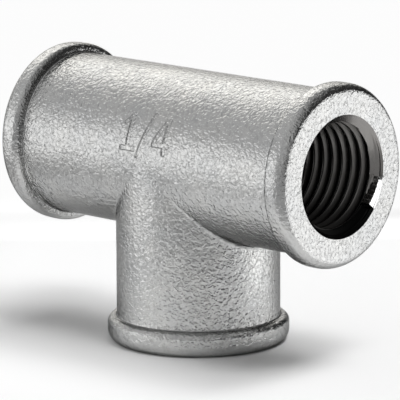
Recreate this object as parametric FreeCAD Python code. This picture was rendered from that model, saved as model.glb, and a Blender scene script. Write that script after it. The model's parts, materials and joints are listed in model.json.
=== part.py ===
import FreeCAD, Part
import math
import os

from FreeCAD import Vector

# Equal tee for 1/4 inch gas and water pipe, cast in malleable iron, in millimetres.
# The run lies along X, the branch points down, and Z = 0 is the end face of the branch.

# Waterway: the smooth core of the tapped bores, and the wider cored chamber between them
thread_core_radius = 5.7225
thread_length = 10.0
laying_length = 11.0
chamber_relief = 0.88
lead_in = 1.04

# Wall of the casting, and the bead that stiffens it round each end
wall = 2.5
bead_height = 1.0
bead_width = 2.75
bead_back_radius = 0.75
bead_rim_radius = 1.35
bead_rim_drop = 0.73

# Blends where the branch leaves the run, outside and in the chamber
crotch_radius = 0.6
chamber_crotch_radius = 0.8

# Sizes that follow from the ones above
centre_to_end = laying_length + thread_length
chamber_radius = thread_core_radius + chamber_relief
mouth_radius = thread_core_radius + lead_in
body_radius = chamber_radius + wall
bead_radius = body_radius + bead_height
crossing = Vector(0, 0, centre_to_end)
on_a_surface = 1e-3


class Outline:
    """A closed outline in the XZ plane: X runs along a bore's axis and Z is the radius."""

    def __init__(self, station, radius):
        self.here = Vector(station, 0, radius)
        self.edges = []

    def line(self, station, radius):
        target = Vector(station, 0, radius)
        self.edges.append(Part.makeLine(self.here, target))
        self.here = target
        return self

    def arc(self, centre, start_angle, end_angle, radius):
        """Adds an arc about the centre, with angles in degrees from +X towards +Z."""
        points = [arc_point(centre, radius, angle)
                  for angle in (start_angle, (start_angle + end_angle) / 2, end_angle)]
        self.edges.append(Part.Arc(*points).toShape())
        self.here = points[-1]
        return self

    def revolve(self):
        """Turns the outline once round the X axis."""
        self.line(self.edges[0].Vertexes[0].X, self.edges[0].Vertexes[0].Z)
        face = Part.Face(Part.Wire(self.edges))
        return face.revolve(Vector(0, 0, 0), Vector(1, 0, 0), 360)


def arc_point(centre, radius, angle):
    station, height = centre
    turn = math.radians(angle)
    return Vector(station + radius * math.cos(turn), 0, height + radius * math.sin(turn))


def beaded_pipe():
    """One leg of the casting, solid, from the crossing to its beaded end at +X.

    The bead has a rounded back edge, a short level crown and a rim arc that leaves
    the crown smoothly and meets the flat end face at a soft corner.
    """
    back = centre_to_end - bead_width
    back_radius = min(bead_back_radius, bead_height)
    back_centre = (back + back_radius, bead_radius - back_radius)
    rim_angle = math.degrees(math.acos(1 - bead_rim_drop / bead_rim_radius))
    rim_length = bead_rim_radius * math.sin(math.radians(rim_angle))
    rim_centre = (centre_to_end - rim_length, bead_radius - bead_rim_radius)

    outline = Outline(0, 0)
    outline.line(0, body_radius)
    outline.line(back, body_radius)
    if back_radius < bead_height:
        outline.line(back, back_centre[1])
    outline.arc(back_centre, 180, 90, back_radius)
    outline.line(rim_centre[0], bead_radius)
    outline.arc(rim_centre, 90, 90 - rim_angle, bead_rim_radius)
    outline.line(centre_to_end, 0)
    return outline.revolve()


def waterway():
    """The space inside one leg: half of the chamber, the tapped bore and its lead-in."""
    outline = Outline(0, 0)
    outline.line(0, chamber_radius)
    outline.line(laying_length - chamber_relief, chamber_radius)
    outline.line(laying_length, thread_core_radius)
    outline.line(centre_to_end - lead_in, thread_core_radius)
    outline.line(centre_to_end, mouth_radius)
    outline.line(centre_to_end, 0)
    return outline.revolve()


def on_cylinder(point, axis, radius):
    """True where a point lies at the radius from an axis through the crossing."""
    away = point - crossing
    along = away.dot(axis)
    return abs((away - axis * along).Length - radius) < on_a_surface


def blended_tee(leg, leg_radius, blend_radius):
    """Joins a right, a left and a downward copy of a leg and rounds the two crotches."""
    legs = [leg.rotated(Vector(0, 0, 0), Vector(0, 1, 0), angle) for angle in (0, 90, 180)]
    tee = legs[0].fuse(legs[1:]).removeSplitter().translated(crossing)
    crotch = []
    for edge in tee.Edges:
        middle = edge.valueAt((edge.FirstParameter + edge.LastParameter) / 2)
        on_run = on_cylinder(middle, Vector(1, 0, 0), leg_radius)
        on_branch = on_cylinder(middle, Vector(0, 0, 1), leg_radius)
        if on_run and on_branch:
            crotch.append(edge)
    return tee.makeFillet(blend_radius, crotch)


def tee_body():
    casting = blended_tee(beaded_pipe(), body_radius, crotch_radius)
    core = blended_tee(waterway(), chamber_radius, chamber_crotch_radius)
    return casting.cut(core)


os.makedirs("parts", exist_ok=True)
tee_body().exportStep("parts/tee_body.step")
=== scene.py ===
import json
import math

import bmesh
import bpy
import numpy as np
from mathutils import Matrix, Vector, noise


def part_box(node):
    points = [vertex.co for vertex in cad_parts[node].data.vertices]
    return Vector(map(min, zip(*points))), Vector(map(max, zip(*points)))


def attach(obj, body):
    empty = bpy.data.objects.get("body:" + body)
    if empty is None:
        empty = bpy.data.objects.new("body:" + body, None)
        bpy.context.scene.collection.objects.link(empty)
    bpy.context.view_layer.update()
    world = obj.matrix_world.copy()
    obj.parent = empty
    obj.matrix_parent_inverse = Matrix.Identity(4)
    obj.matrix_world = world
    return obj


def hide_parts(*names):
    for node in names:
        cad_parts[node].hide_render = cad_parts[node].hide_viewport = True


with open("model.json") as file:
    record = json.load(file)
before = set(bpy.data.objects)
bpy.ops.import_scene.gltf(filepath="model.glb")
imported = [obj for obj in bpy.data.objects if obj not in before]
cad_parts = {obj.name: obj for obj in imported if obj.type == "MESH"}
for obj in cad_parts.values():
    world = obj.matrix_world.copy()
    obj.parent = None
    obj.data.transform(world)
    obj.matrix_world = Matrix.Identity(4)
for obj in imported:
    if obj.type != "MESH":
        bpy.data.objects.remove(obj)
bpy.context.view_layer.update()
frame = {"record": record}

MM = 0.001

# Sizes of the casting in millimetres. The ones that the frame knows are read from it.
centre_to_end, bead_radius = np.array(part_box("tee_body")[1])[:2] / MM
core_radius = frame["record"]["mounts"][0]["dims"]["r_mm"]
bead_height = 1.0
bead_width = 2.75
bead_back_radius = 0.75
rim_radius = 1.35
rim_drop = 0.73
lead_in = 1.04
chamber_relief = 0.88
chamber_end = 11.0
crotch_radius = 0.6
chamber_crotch_radius = 0.8

body_radius = bead_radius - bead_height
foot_radius = bead_height - bead_back_radius
mouth_radius = core_radius + lead_in
chamber_radius = core_radius + chamber_relief
taper_start = chamber_end - chamber_relief
crossing = np.array([0.0, 0.0, centre_to_end])

# The parallel pipe thread: 19 turns to the inch, 55 degree flanks, rounded crests and roots.
# The crest station is where a crest passes the back of the right bore.
pitch = 25.4 / 19
thread_depth = 0.640327 * pitch
thread_rounding = 0.137329 * pitch
flank_angle = math.radians(27.5)
rounding_reach = thread_rounding * math.cos(flank_angle)
crest_station = 20.03

# The bright land that the cutter left at the mouth of the right bore: its two ends in radians
# round the bore, from the back over the top, and its width at each in millimetres. The mouth's
# lowest part is painted dark as shade, from the land's lower end round to the angle given.
land_ends = math.radians(360 - 42), math.radians(360 - 10)
land_widths = 1.1, 0.7
painted_shade_from = math.radians(360 - 140)

# The size mark on the front of the run, cut into the skin. Each stroke is a bar given by its
# two ends along the run and up the curve from the front line, with its width.
MARK = [
    ((-2.34, 1.30), (-2.34, 5.52), 0.50),
    ((-3.30, 4.20), (-2.50, 5.26), 0.44),
    ((-3.40, 1.53), (-1.28, 1.53), 0.50),
    ((-0.88, 0.60), (0.74, 5.92), 0.40),
    ((2.97, 1.30), (2.97, 5.48), 0.50),
    ((1.17, 2.36), (3.66, 2.36), 0.50),
    ((1.36, 2.42), (2.79, 5.44), 0.44),
]
mark_depth = 0.13
mark_wall = 0.1
mark_half_length = 3.9
mark_bottom = 0.3
mark_top = 6.25

# The unevenness of the sand-cast skin: each wave's height, waves in a millimetre and offset.
# It fades out towards the end faces.
SKIN_WAVES = [(0.012, 0.42, (0, 0, 0)), (0.006, 1.3, (7, 3, 5))]
skin_fade = 0.8

# The mesh: columns round each bore, and steps in millimetres between rows and columns in the
# size mark, and between rows on the plain tubes, on the chamber's taper and at the mouth
columns = 128
mark_step = 0.075
tube_step = 0.4
taper_step = 0.2
mouth_step = 0.07

# The border of the end face where the columns of the skin meet those of the bore, the length
# of thread that has the mouth's rows, and how close points are when they are merged
mouth_border = 0.3
mouth_thread = 0.12
merge_distance = 0.0012

# The legs of the tee. Each has its own axes in the row's frame, which are along its bore and
# two across it, and the hand that makes its thread right-handed on those axes. Angles round a
# leg go from its second axis to its third.
LEGS = {
    "right": (np.array([[1, 0, 0], [0, 1, 0], [0, 0, 1]]), 1),
    "left": (np.array([[-1, 0, 0], [0, 1, 0], [0, 0, 1]]), -1),
    "branch": (np.array([[0, 0, -1], [0, 1, 0], [1, 0, 0]]), 1),
}

# The kinds of face, in the order of the casting's materials. The crease is painted shade: a dark
# line in the foot of each bead.
# The groove kind is painted shade: the thread's grooves and the right mouth's lowest part are near
# black.
SKIN, FACE, CUT, GROOVE_SHADE, LEAD_IN, LAND, CREASE_SHADE = range(7)

# The side that the camera looks from, in degrees round the branch from -Y towards +X
camera_azimuth = 42.361

# The patch of floor that the floor lamps light, in millimetres from its middle to its edges
# across and along the view. The middle lies behind the branch, and the border is blurred over
# the given distance to both sides.
patch_half_size = (34, 48)
patch_behind = 12
patch_blur = 10

# What the floor glows with round the patch and, on top of that, behind it
glow_round = 0.13
glow_behind = 0.57


def stations(*stops):
    """Numbers from the first stop to the last, with the step given between each pair."""
    values = [stops[0]]
    for step, stop in zip(stops[1::2], stops[2::2]):
        count = max(1, math.ceil((stop - values[-1]) / step - 1e-9))
        values += list(np.linspace(values[-1], stop, count + 1)[1:])
    return np.array(values)


def arc_points(centre, radius, start, end, count):
    """Points of an arc from one angle to another, in degrees, with so many steps."""
    angles = np.radians(np.linspace(start, end, count + 1))
    return [(centre[0] + radius * math.cos(a), centre[1] + radius * math.sin(a)) for a in angles]


class Skin:
    """A mesh that is put together from rings of points, each joined to the next."""

    def __init__(self):
        self.points = []
        self.faces = []
        self.kinds = []

    def ring(self, points):
        first = len(self.points)
        self.points += [tuple(p) for p in points]
        return np.arange(first, len(self.points))

    def strip(self, a, b, kind, closed=True):
        """Joins two rings of equal length. The kind is one for all faces, or one for each."""
        count = len(a) if closed else len(a) - 1
        for i in range(count):
            j = (i + 1) % len(a)
            self.faces.append((a[i], a[j], b[j], b[i]))
        self.kinds += list(np.broadcast_to(kind, count))

    def zipper(self, a, a_angles, b, b_angles, kind):
        """Joins two closed rings that have different numbers of points."""
        i = j = 0
        a_turn = np.append(a_angles, a_angles[0] + 2 * math.pi)
        b_turn = np.append(b_angles, b_angles[0] + 2 * math.pi)
        while i < len(a) or j < len(b):
            if j >= len(b) or (i < len(a) and a_turn[i + 1] <= b_turn[j + 1]):
                self.faces.append((a[i], a[(i + 1) % len(a)], b[j % len(b)]))
                i += 1
            else:
                self.faces.append((a[i % len(a)], b[(j + 1) % len(b)], b[j]))
                j += 1
            self.kinds.append(kind)

    def lathe(self, leg, last, outline, angles, kinds):
        """Turns an outline of stations and radii round a leg, from the last ring onwards."""
        for (station, radius), kind in zip(outline, kinds):
            row = self.ring(placed(leg, station, radius, angles))
            self.strip(last, row, kind)
            last = row
        return last


def placed(leg, station, radius, angles):
    """Points of a leg, at stations along its axis, in the row's frame in millimetres."""
    axes, _ = LEGS[leg]
    local = np.stack([np.broadcast_to(station, angles.shape),
                      radius * np.cos(angles), radius * np.sin(angles)], axis=1)
    return local @ axes + crossing


def start_station(leg, angles, radius):
    """Where a leg's plain tube starts: the middle of the run, or the edge of a crotch blend."""
    reach = radius * np.abs(np.sin(angles))
    if leg == "branch":
        return reach
    return np.where(np.sin(angles) < 0, reach, 0.0)


def tube(skin, leg, radius, blend, angles, shares, end, kind):
    """The plain tube of a leg from its start line to a station, and its last ring."""
    start = start_station(leg, angles, radius + blend)
    last = None
    for share in shares:
        row = skin.ring(placed(leg, start + (end - start) * share, radius, angles))
        if last is not None:
            skin.strip(last, row, kind)
        last = row
    return last


def part_way(first, second, angle, part):
    """Arrows turned a part of the way from the first to the second, an angle apart."""
    sine = np.sin(angle)
    together = sine < 1e-9
    safe = np.where(together, 1, sine)
    of_first = np.where(together, 1 - part, np.sin((1 - part) * angle) / safe)
    of_second = np.where(together, part, np.sin(part * angle) / safe)
    return first * of_first[:, None] + second * of_second[:, None]


def crotch(skin, radius, blend, low_angles, kind):
    """The two rolling-ball blends between the run and the branch, whose tubes are equal.

    The ball's centre runs along a flat ellipse, as far out along the run as along the branch,
    so each section is an arc about one point.
    """
    reach = radius + blend
    share = radius / reach
    steps = 6
    y, out = reach * np.cos(low_angles), reach * np.sin(low_angles)
    centre = np.stack([out, y, -out], axis=1)
    on_run = np.stack([out, y * share, -out * share], axis=1) - centre
    on_branch = np.stack([out * share, y * share, -out], axis=1) - centre
    angle = np.arccos(np.clip(np.sum(on_run * on_branch, axis=1) / blend ** 2, -1, 1))
    for sign in (1, -1):
        rings = []
        for step in range(steps + 1):
            points = centre + part_way(on_run, on_branch, angle, step / steps)
            points[:, 0] *= sign
            rings.append(skin.ring(points + crossing))
        for a, b in zip(rings, rings[1:]):
            skin.strip(a, b, kind, closed=False)


def bead_outline():
    """A bead from its foot over its crown to the edge of the end face, and its kinds."""
    back = centre_to_end - bead_width
    foot_centre = (back - foot_radius, body_radius + foot_radius)
    back_centre = (back + bead_back_radius, bead_radius - bead_back_radius)
    rim_angle = math.degrees(math.acos(1 - rim_drop / rim_radius))
    rim_length = rim_radius * math.sin(math.radians(rim_angle))
    rim_centre = (centre_to_end - rim_length, bead_radius - rim_radius)
    outline = arc_points(foot_centre, foot_radius, -90, 0, 5)[1:]
    outline += arc_points(back_centre, bead_back_radius, 180, 90, 9)[1:]
    outline += arc_points(rim_centre, rim_radius, 90, 90 - rim_angle, 9)
    kinds = [SKIN] * len(outline)
    # The middle of the foot is painted dark as shade in the crease.
    middle_of_foot = 2
    kinds[middle_of_foot] = CREASE_SHADE
    return outline, kinds


def outer_leg(skin, leg, angles):
    """Tube, bead and end face of one leg. The last ring is a little outside the mouth."""
    foot = centre_to_end - bead_width - foot_radius
    if leg == "branch":
        rows = stations(0, tube_step, foot)
    else:
        rows = stations(0, mark_step, mark_half_length, tube_step, foot)
    last = tube(skin, leg, body_radius, crotch_radius, angles, rows / foot, foot, SKIN)
    bead, kinds = bead_outline()
    last = skin.lathe(leg, last, bead, angles, kinds)
    face_radii = np.linspace(bead_radius - rim_drop, mouth_radius + mouth_border, 8)[1:]
    face = [(centre_to_end, radius) for radius in face_radii]
    return skin.lathe(leg, last, face, angles, [FACE] * len(face))


def thread_radius(turn_station):
    """Radius of the threaded wall at a distance along the axis from the nearest crest."""
    away = np.abs((turn_station + pitch / 2) % pitch - pitch / 2)
    drop = thread_rounding * (1 - math.sin(flank_angle))
    crest = thread_rounding - np.sqrt(np.maximum(thread_rounding ** 2 - away ** 2, 0))
    root_away = pitch / 2 - away
    root = np.sqrt(np.maximum(thread_rounding ** 2 - root_away ** 2, 0)) - thread_rounding
    flank = drop + (away - rounding_reach) / math.tan(flank_angle)
    depth = np.where(away < rounding_reach, crest,
                     np.where(root_away < rounding_reach, thread_depth + root, flank))
    return core_radius + depth


def bore_radius(leg, station, angles):
    """Radius of a bore's wall: the thread, opened by the chamber's taper and the lead-in."""
    hand = LEGS[leg][1]
    thread = thread_radius(station - crest_station - hand * pitch * angles / (2 * math.pi))
    opening = mouth_radius - (centre_to_end - station)
    run_out = chamber_radius - (station - taper_start)
    return np.maximum(np.maximum(thread, opening), np.minimum(run_out, chamber_radius))


def bore_ring(skin, leg, station, angles):
    station = np.broadcast_to(station, angles.shape)
    return skin.ring(placed(leg, station, bore_radius(leg, station, angles), angles))


def add_taper(skin, leg, last, angles):
    """The short cone between the chamber and the thread."""
    for station in stations(taper_start, taper_step, chamber_end)[1:]:
        row = bore_ring(skin, leg, station, angles)
        skin.strip(last, row, CUT)
        last = row
    return last


def add_thread(skin, leg, last, angles, end):
    """The threaded wall up to a station. Its rows climb with the helix, and past either end
    of the thread they lie on one another until the mesh is merged.

    Each row has the kind of the strip that ends at it. The painted shade begins on the flank that
    faces the mouth and fills the groove up to the next crest.
    """
    half = pitch / 2
    # From the shade edge to the next crest, the groove is painted dark as shade.
    shade_edge = 0.62 * half
    rows = [(0, CUT), (rounding_reach / 2, CUT), (rounding_reach, CUT), (shade_edge, CUT),
            (half - rounding_reach, GROOVE_SHADE), (half, GROOVE_SHADE), (half + rounding_reach, GROOVE_SHADE),
            (pitch - rounding_reach, GROOVE_SHADE), (pitch - rounding_reach / 2, CUT)]
    turns = math.ceil((end - chamber_end) / pitch) + 2
    first_crest = crest_station - turns * pitch
    full_turn = np.append(angles, 2 * math.pi)
    climb = LEGS[leg][1] * pitch * full_turn / (2 * math.pi)
    last = np.append(last, last[0])
    for turn in range(turns + 2):
        for offset, kind in rows:
            station = first_crest + turn * pitch + offset + climb
            row = bore_ring(skin, leg, np.clip(station, chamber_end, end), full_turn)
            skin.strip(last, row, kind, closed=False)
            last = row
    return last[:-1]


def add_mouth(skin, leg, last, angles, start):
    """The lead-in cone from a station to the end face, with the land of the right bore and painted
    shade at its lowest part.
    """
    on_land = (leg == "right") & (angles > land_ends[0]) & (angles < land_ends[1])
    # The lowest part of the right mouth is painted dark as shade.
    painted_shade_low = (leg == "right") & (angles > painted_shade_from) & (angles < land_ends[0])
    land_start = centre_to_end - np.interp(angles, land_ends, land_widths)
    was_flat = np.zeros(angles.shape, bool)
    for station in stations(start, mouth_step, centre_to_end):
        flat = on_land & (station > land_start)
        shape_from = np.where(flat & ~was_flat, land_start, station)
        radius = bore_radius(leg, shape_from, angles)
        row = skin.ring(placed(leg, np.where(flat, centre_to_end, station), radius, angles))
        skin.strip(last, row, np.where(flat & was_flat, LAND, np.where(painted_shade_low, GROOVE_SHADE, LEAD_IN)))
        last, was_flat = row, flat
    return last


def inner_leg(skin, leg, angles):
    """Chamber wall, threaded bore and lead-in of one leg. The last ring is the mouth's edge."""
    shares = np.linspace(0, 1, 12)
    mouth_start = centre_to_end - lead_in - mouth_thread
    last = tube(skin, leg, chamber_radius, chamber_crotch_radius, angles, shares,
                taper_start, CUT)
    last = add_taper(skin, leg, last, angles)
    last = add_thread(skin, leg, last, angles, mouth_start)
    return add_mouth(skin, leg, last, angles, mouth_start)


def column_angles():
    """The angles of the columns of each leg's skin, and of the bores: even ones, and close
    ones where the mark is."""
    even = np.linspace(0, math.pi, columns // 2 + 1)
    below = 2 * math.pi - even[::-1]
    step = 2 * math.pi / columns
    with_mark = stations(0, step, math.pi - mark_top / body_radius, mark_step / body_radius,
                         math.pi - mark_bottom / body_radius, step, math.pi)
    run = np.concatenate([with_mark, below[1:-1]])
    branch = np.concatenate([even, below[1:-1]])
    return {"right": run, "left": run, "branch": branch}, branch


def build_casting():
    """The whole tee as one closed mesh, with its cast skin, end faces and cut threads."""
    outer_angles, inner_angles = column_angles()
    low_angles = inner_angles[:columns // 2 + 1]
    skin = Skin()
    crotch(skin, body_radius, crotch_radius, low_angles, SKIN)
    crotch(skin, chamber_radius, chamber_crotch_radius, low_angles, CUT)
    for leg, angles in outer_angles.items():
        outer = outer_leg(skin, leg, angles)
        inner = inner_leg(skin, leg, inner_angles)
        skin.zipper(outer, angles, inner, inner_angles, FACE)

    mesh = bpy.data.meshes.new("tee_casting")
    points = np.array(skin.points) * MM
    mesh.from_pydata(points.tolist(), [], [tuple(int(i) for i in f) for f in skin.faces])
    mesh.polygons.foreach_set("material_index", skin.kinds)
    casting = bpy.data.objects.new("tee_casting", mesh)
    bpy.context.scene.collection.objects.link(casting)
    merge(mesh, merge_distance * MM)
    return casting


def merge(mesh, distance):
    """Joins the points where rings meet, and turns all faces outwards."""
    shape = bmesh.new()
    shape.from_mesh(mesh)
    bmesh.ops.remove_doubles(shape, verts=shape.verts, dist=distance)
    bmesh.ops.recalc_face_normals(shape, faces=shape.faces)
    shape.to_mesh(mesh)
    shape.free()


def mark_cut(station, climb):
    """How deep the size mark is at a point of the front of the run, in millimetres."""
    distance = np.full(np.shape(station), np.inf)
    for start, end, width in MARK:
        start, end = np.array(start), np.array(end)
        length = np.linalg.norm(end - start)
        along_axis = (end - start) / length
        dx, dy = station - start[0], climb - start[1]
        along = np.abs(dx * along_axis[0] + dy * along_axis[1] - length / 2) - length / 2
        across = np.abs(dy * along_axis[0] - dx * along_axis[1]) - width / 2
        outside = np.hypot(np.maximum(along, 0), np.maximum(across, 0))
        distance = np.minimum(distance, outside + np.minimum(np.maximum(along, across), 0))
    ramp = np.clip(0.5 - distance / mark_wall, 0, 1)
    return mark_depth * ramp * ramp * (3 - 2 * ramp)


def unevenness(point):
    """How far the sand mould's unevenness lifts a point of the skin, in millimetres."""
    return sum(height * noise.noise(Vector(point) * waves + Vector(offset))
               for height, waves, offset in SKIN_WAVES)


def vertex_vectors(mesh, name):
    """One vector of each vertex, as the rows of an array."""
    values = np.empty(len(mesh.vertices) * 3)
    mesh.vertices.foreach_get(name, values)
    return values.reshape(-1, 3)


def shape_skin(casting):
    """Moves the cast skin: the size mark goes in, and the sand mould's unevenness goes on."""
    mesh = casting.data
    at = vertex_vectors(mesh, "co") / MM
    normal = vertex_vectors(mesh, "normal")

    away = at - crossing
    run_distance = np.hypot(away[:, 1], away[:, 2])
    branch_distance = np.hypot(away[:, 0], away[:, 1])
    outside = np.minimum(np.where(away[:, 2] > -body_radius, run_distance, np.inf),
                         np.where(away[:, 2] < 0, branch_distance, np.inf))
    reach = np.maximum(np.abs(away[:, 0]), -away[:, 2])
    well_inside, near, off_the_face = 0.3, 0.05, 0.02
    on_skin = (outside > body_radius - well_inside) & (reach < centre_to_end - off_the_face)
    on_run = np.abs(run_distance - body_radius) < near
    climb = body_radius * np.arctan2(away[:, 2], -away[:, 1])
    on_front = on_skin & on_run & (away[:, 1] < 0) & (climb > 0)

    cut = np.where(on_front, mark_cut(away[:, 0], climb), 0.0)
    lift = np.array([unevenness(p) if moves else 0.0 for p, moves in zip(at, on_skin)])
    fade = np.clip((centre_to_end - reach) / skin_fade, 0, 1)
    moved = at + normal * (lift * fade - cut)[:, None]
    mesh.vertices.foreach_set("co", (moved * MM).ravel())
    mesh.update()


def new_material(name):
    material = bpy.data.materials.new(name)
    material.use_nodes = True
    tree = material.node_tree
    shader = tree.nodes["Principled BSDF"]
    return material, tree, shader


def node(tree, kind, **values):
    """Adds a node and sets its properties and its inputs by name."""
    made = tree.nodes.new(kind)
    for name, value in values.items():
        if hasattr(made, name):
            setattr(made, name, value)
        else:
            made.inputs[name.replace("_", " ")].default_value = value
    return made


def ramp(tree, source, stops):
    """A colour ramp with stops at the given positions, each a grey value or a colour."""
    made = tree.nodes.new("ShaderNodeValToRGB")
    tree.links.new(source, made.inputs["Fac"])
    elements = made.color_ramp.elements
    while len(elements) < len(stops):
        elements.new(0.5)
    for element, (position, value) in zip(elements, stops):
        element.position = position
        element.color = (*value, 1) if isinstance(value, tuple) else (value, value, value, 1)
    return made.outputs["Color"]


def noise_texture(tree, place, **values):
    made = node(tree, "ShaderNodeTexNoise", **values)
    tree.links.new(place, made.inputs["Vector"])
    return made.outputs["Fac"]


def bump(tree, height, distance):
    made = node(tree, "ShaderNodeBump", Distance=distance)
    tree.links.new(height, made.inputs["Height"])
    return made


def multiplied(tree, first, second):
    """The product of two colours. Inputs 6 and 7 and output 2 of the node are its colours."""
    made = node(tree, "ShaderNodeMix", data_type="RGBA", blend_type="MULTIPLY")
    made.inputs["Factor"].default_value = 1.0
    tree.links.new(first, made.inputs[6])
    tree.links.new(second, made.inputs[7])
    return made.outputs[2]


def zinc(name, wrinkle_scale, wrinkle_height, grain_scale, grain_height):
    """Bright galvanised skin: fine wrinkles of frozen zinc over the grain of the sand mould.

    The edge tint keeps the skin from turning into a mirror where it is seen at a low angle.
    """
    material, tree, shader = new_material(name)
    link = tree.links.new
    place = tree.nodes.new("ShaderNodeTexCoord").outputs["Object"]
    tone = noise_texture(tree, place, Scale=260.0, Detail=3.0, Roughness=0.6)
    wrinkle = noise_texture(tree, place, Scale=wrinkle_scale, Detail=1.5, Roughness=0.5,
                            Distortion=0.8)
    dull = noise_texture(tree, place, Scale=520.0, Detail=2.0)
    grain = noise_texture(tree, place, Scale=grain_scale, Detail=2.0, Roughness=0.6)

    tones = ramp(tree, tone, [(0.3, (0.56, 0.565, 0.565)), (0.7, (0.62, 0.62, 0.61))])
    # The hollows of the wrinkles are painted darker, as shade.
    hollow_shade = ramp(tree, wrinkle, [(0.35, 0.9), (0.5, 1.0)])
    link(multiplied(tree, tones, hollow_shade), shader.inputs["Base Color"])
    link(ramp(tree, dull, [(0.3, 0.15), (0.7, 0.19)]), shader.inputs["Roughness"])
    shader.inputs["Metallic"].default_value = 1.0
    shader.inputs["Specular Tint"].default_value = (0.28, 0.28, 0.28, 1)

    fine = bump(tree, grain, grain_height)
    broad = bump(tree, wrinkle, wrinkle_height)
    link(fine.outputs["Normal"], broad.inputs["Normal"])
    link(broad.outputs["Normal"], shader.inputs["Normal"])
    return material


def plain(name, colour, metallic, roughness):
    """A material of one colour."""
    material, _, shader = new_material(name)
    shader.inputs["Base Color"].default_value = (*colour, 1)
    shader.inputs["Metallic"].default_value = metallic
    shader.inputs["Roughness"].default_value = roughness
    return material


def paint(casting):
    """Gives the casting a material for each kind of face, in the order of the kinds."""
    for material in (zinc("zinc_skin", wrinkle_scale=2400.0, wrinkle_height=0.000135,
                          grain_scale=8000.0, grain_height=0.000003),
                     zinc("zinc_end_face", wrinkle_scale=2900.0, wrinkle_height=0.0001,
                          grain_scale=9000.0, grain_height=0.000006),
                     plain("cut_iron", (0.2, 0.193, 0.185), 1.0, 0.3),
                     # Painted shade in the thread's grooves and at the right mouth's lowest part
                     plain("groove_painted_shade", (0.02, 0.02, 0.02), 1.0, 0.3),
                     plain("bright_lead_in", (0.3, 0.29, 0.28), 1.0, 0.25),
                     plain("bare_zinc", (0.85, 0.85, 0.85), 1.0, 0.25),
                     # Painted shade: a near black line in the foot of each bead
                     plain("crease_painted_shade", (0.1, 0.1, 0.1), 0.0, 0.8)):
        casting.data.materials.append(material)


casting = build_casting()
shape_skin(casting)
casting.data.shade_smooth()
casting.data.set_sharp_from_angle(angle=math.radians(38))
paint(casting)

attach(casting, "root")
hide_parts("tee_body")


def combined(tree, operation, first, second):
    """Two values combined by a math operation."""
    made = node(tree, "ShaderNodeMath", operation=operation)
    tree.links.new(first, made.inputs[0])
    tree.links.new(second, made.inputs[1])
    return made.outputs["Value"]


def rising(tree, source, start, end, level):
    """A value that rises from nothing to a level while the source goes from start to end."""
    made = node(tree, "ShaderNodeMapRange", From_Min=start, From_Max=end, To_Min=0.0, To_Max=level)
    tree.links.new(source, made.inputs["Value"])
    return made.outputs["Result"]


def split(tree, vector):
    made = tree.nodes.new("ShaderNodeSeparateXYZ")
    tree.links.new(vector, made.inputs["Vector"])
    return made.outputs


def floor_glow(tree):
    """The level that the floor adds to the lamps' light: none on their patch, some round it
    and most behind it. The coordinates are turned to the camera's view, from the patch."""
    link = tree.links.new
    half_across, half_along = (half * MM for half in patch_half_size)
    blur = patch_blur * MM
    turned = node(tree, "ShaderNodeMapping", Location=(0, -patch_behind * MM, 0),
                  Rotation=(0, 0, -math.radians(camera_azimuth)))
    link(tree.nodes.new("ShaderNodeTexCoord").outputs["Object"], turned.inputs["Vector"])
    folded = node(tree, "ShaderNodeVectorMath", operation="ABSOLUTE")
    link(turned.outputs["Vector"], folded.inputs[0])
    past_edges = node(tree, "ShaderNodeVectorMath", operation="SUBTRACT")
    link(folded.outputs["Vector"], past_edges.inputs[0])
    past_edges.inputs[1].default_value = (half_across, half_along, 0)

    past = split(tree, past_edges.outputs["Vector"])
    around_patch = rising(tree, combined(tree, "MAXIMUM", past["X"], past["Y"]),
                          -blur, blur, glow_round)
    behind = rising(tree, split(tree, turned.outputs["Vector"])["Y"],
                    half_along - blur, half_along + blur, glow_behind)
    return combined(tree, "ADD", around_patch, behind)


def add_floor():
    """A pale floor. Where no lamp lights it, it glows for the camera and in reflections, so
    that it is pale there too and sends no light to the object."""
    mesh = bpy.data.meshes.new("floor")
    half, low = 3000 * MM, -0.01 * MM
    mesh.from_pydata([(-half, -half, low), (half, -half, low), (half, half, low),
                      (-half, half, low)], [], [(0, 1, 2, 3)])
    floor = bpy.data.objects.new("floor", mesh)
    bpy.context.scene.collection.objects.link(floor)
    material, tree, shader = new_material("pale_floor")
    shader.inputs["Base Color"].default_value = (0.9, 0.9, 0.9, 1)
    shader.inputs["Roughness"].default_value = 1.0
    shader.inputs["Specular IOR Level"].default_value = 0.0
    shader.inputs["Emission Color"].default_value = (1, 1, 1, 1)
    ray = tree.nodes.new("ShaderNodeLightPath").outputs
    seen = combined(tree, "MAXIMUM", ray["Is Camera Ray"], ray["Is Glossy Ray"])
    seen = combined(tree, "MAXIMUM", seen, ray["Is Transmission Ray"])
    shown = combined(tree, "MULTIPLY", floor_glow(tree), seen)
    tree.links.new(shown, shader.inputs["Emission Strength"])
    mesh.materials.append(material)


def receivers(name, *pieces):
    """The objects that a lamp lights. Its shadows still come from everything."""
    lit = bpy.data.collections.new(name)
    for piece in pieces:
        lit.objects.link(bpy.data.objects[piece])
    return lit


def add_lamp(name, place, turn, size, energy, spread, lit, colour):
    """A rectangular lamp, in millimetres, that shines along the -Z of its own turn."""
    light = bpy.data.lights.new(name, "AREA")
    light.shape = "RECTANGLE"
    light.size, light.size_y = (side * MM for side in size)
    light.color = colour
    light.energy = energy * math.pi * light.size * light.size_y
    light.spread = math.radians(spread)
    lamp = bpy.data.objects.new(name, light)
    lamp.location = Vector(place) * MM
    lamp.rotation_euler = turn
    lamp.visible_camera = False
    lamp.light_linking.receiver_collection = lit
    bpy.context.scene.collection.objects.link(lamp)


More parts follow.
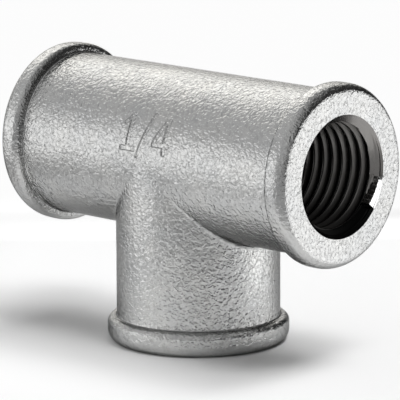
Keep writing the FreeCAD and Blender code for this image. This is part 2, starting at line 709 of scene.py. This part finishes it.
def softbox(name, place, target, size, radiance, spread, lit, colour=(1, 1, 1)):
    """A lamp that faces a target. The radiance is what a mirror shows of its middle, and a
    narrow spread makes it fade towards its edges."""
    half = math.radians(spread / 2)
    turn = (Vector(place) - Vector(target)).to_track_quat("Z", "Y").to_euler()
    energy = radiance * (1 - half / math.tan(half))
    add_lamp(name, place, turn, size, energy, spread, lit, colour)


def floor_lamp(name, height, lean, level, spread, lit):
    """A lamp over the patch of floor, square to the camera's view.

    It leans to the left and to the front by two angles in degrees, so that the shadows fall
    that way.
    """
    azimuth, left, front = (math.radians(v) for v in (camera_azimuth, *lean))
    aside = height * math.tan(left)
    behind = patch_behind + height * math.tan(front)
    place = (aside * math.cos(azimuth) - behind * math.sin(azimuth),
             aside * math.sin(azimuth) + behind * math.cos(azimuth), height)
    size = (2 * half for half in patch_half_size)
    add_lamp(name, place, (-front, left, azimuth), size, level, spread, lit, (1, 1, 1))


def around(azimuth, elevation, distance):
    """A place in millimetres, seen from the crossing of the run and the branch."""
    a, e = math.radians(azimuth), math.radians(elevation)
    toward = np.array([math.cos(a) * math.cos(e), math.sin(a) * math.cos(e), math.sin(e)])
    return crossing + toward * distance


def add_lamps():
    """Soft lamps for the casting, and two for the floor and the casting's shadow on it.

    The first shows along the front of the run, the second on the right end face, the third
    faintly on the rims, and the fourth along the top.
    """
    on_object = receivers("lit_by_softboxes", "tee_casting")
    on_floor = receivers("lit_by_floor_lamps", "floor")
    middle = tuple(crossing)
    softbox("lamp_left_front", place=(-36, -45, 23), target=(0, -9, 24), size=(90, 46),
            radiance=1.05, spread=68, lit=on_object)
    softbox("lamp_right_back", place=(34.2, 14.5, 16.9), target=(21, 0, 21), size=(40, 33),
            radiance=1.48, spread=76, lit=on_object)
    softbox("lamp_front_right", place=around(-38, 26, 140), target=middle, size=(140, 110),
            radiance=0.26, spread=160, lit=on_object)
    softbox("lamp_top_back", place=around(140, 28, 140), target=middle, size=(180, 150),
            radiance=2.7, spread=78, lit=on_object, colour=(1, 0.98, 0.94))
    floor_lamp("lamp_floor_back", height=36, lean=(20, 12), level=0.42, spread=32, lit=on_floor)
    floor_lamp("lamp_floor_right", height=36, lean=(16, -14), level=0.42, spread=32, lit=on_floor)


def add_world():
    """Soft light that is strongest from the camera's left and a little above."""
    world = bpy.data.worlds.new("studio")
    bpy.context.scene.world = world
    world.use_nodes = True
    tree = world.node_tree
    background = tree.nodes["Background"]
    background.inputs["Color"].default_value = (1, 1, 1, 1)
    brightest = (-0.75, -0.55, 0.37)
    facing = node(tree, "ShaderNodeVectorMath", operation="DOT_PRODUCT")
    facing.inputs[1].default_value = brightest
    tree.links.new(tree.nodes.new("ShaderNodeTexCoord").outputs["Generated"], facing.inputs[0])
    fade = node(tree, "ShaderNodeMapRange", From_Min=-0.3, From_Max=0.8, To_Min=0.04, To_Max=0.56)
    tree.links.new(facing.outputs["Value"], fade.inputs["Value"])
    tree.links.new(fade.outputs["Result"], background.inputs["Strength"])


def add_camera():
    """The camera that was fitted to the photograph: a long lens, a little above the run."""
    azimuth, elevation, roll = (math.radians(v) for v in (camera_azimuth, 11.801, -0.263))
    distance = 461.25
    shift_right, shift_up = -0.242, 5.265
    back = np.array([math.sin(azimuth) * math.cos(elevation),
                     -math.cos(azimuth) * math.cos(elevation), math.sin(elevation)])
    level = np.array([math.cos(azimuth), math.sin(azimuth), 0.0])
    rise = np.cross(back, level)
    right = math.cos(roll) * level + math.sin(roll) * rise
    up = -math.sin(roll) * level + math.cos(roll) * rise
    place = crossing + back * distance - right * shift_right - up * shift_up
    data = bpy.data.cameras.new("camera")
    data.lens = 376.15
    data.sensor_width = 36.0
    data.clip_start = 0.01
    data.clip_end = 20.0
    camera = bpy.data.objects.new("camera", data)
    turn = Matrix((right, up, back)).transposed().to_4x4()
    camera.matrix_world = Matrix.Translation(Vector(place * MM)) @ turn
    bpy.context.scene.collection.objects.link(camera)
    bpy.context.scene.camera = camera


add_floor()
add_lamps()
add_world()
add_camera()
bpy.context.scene.view_settings.view_transform = "Standard"
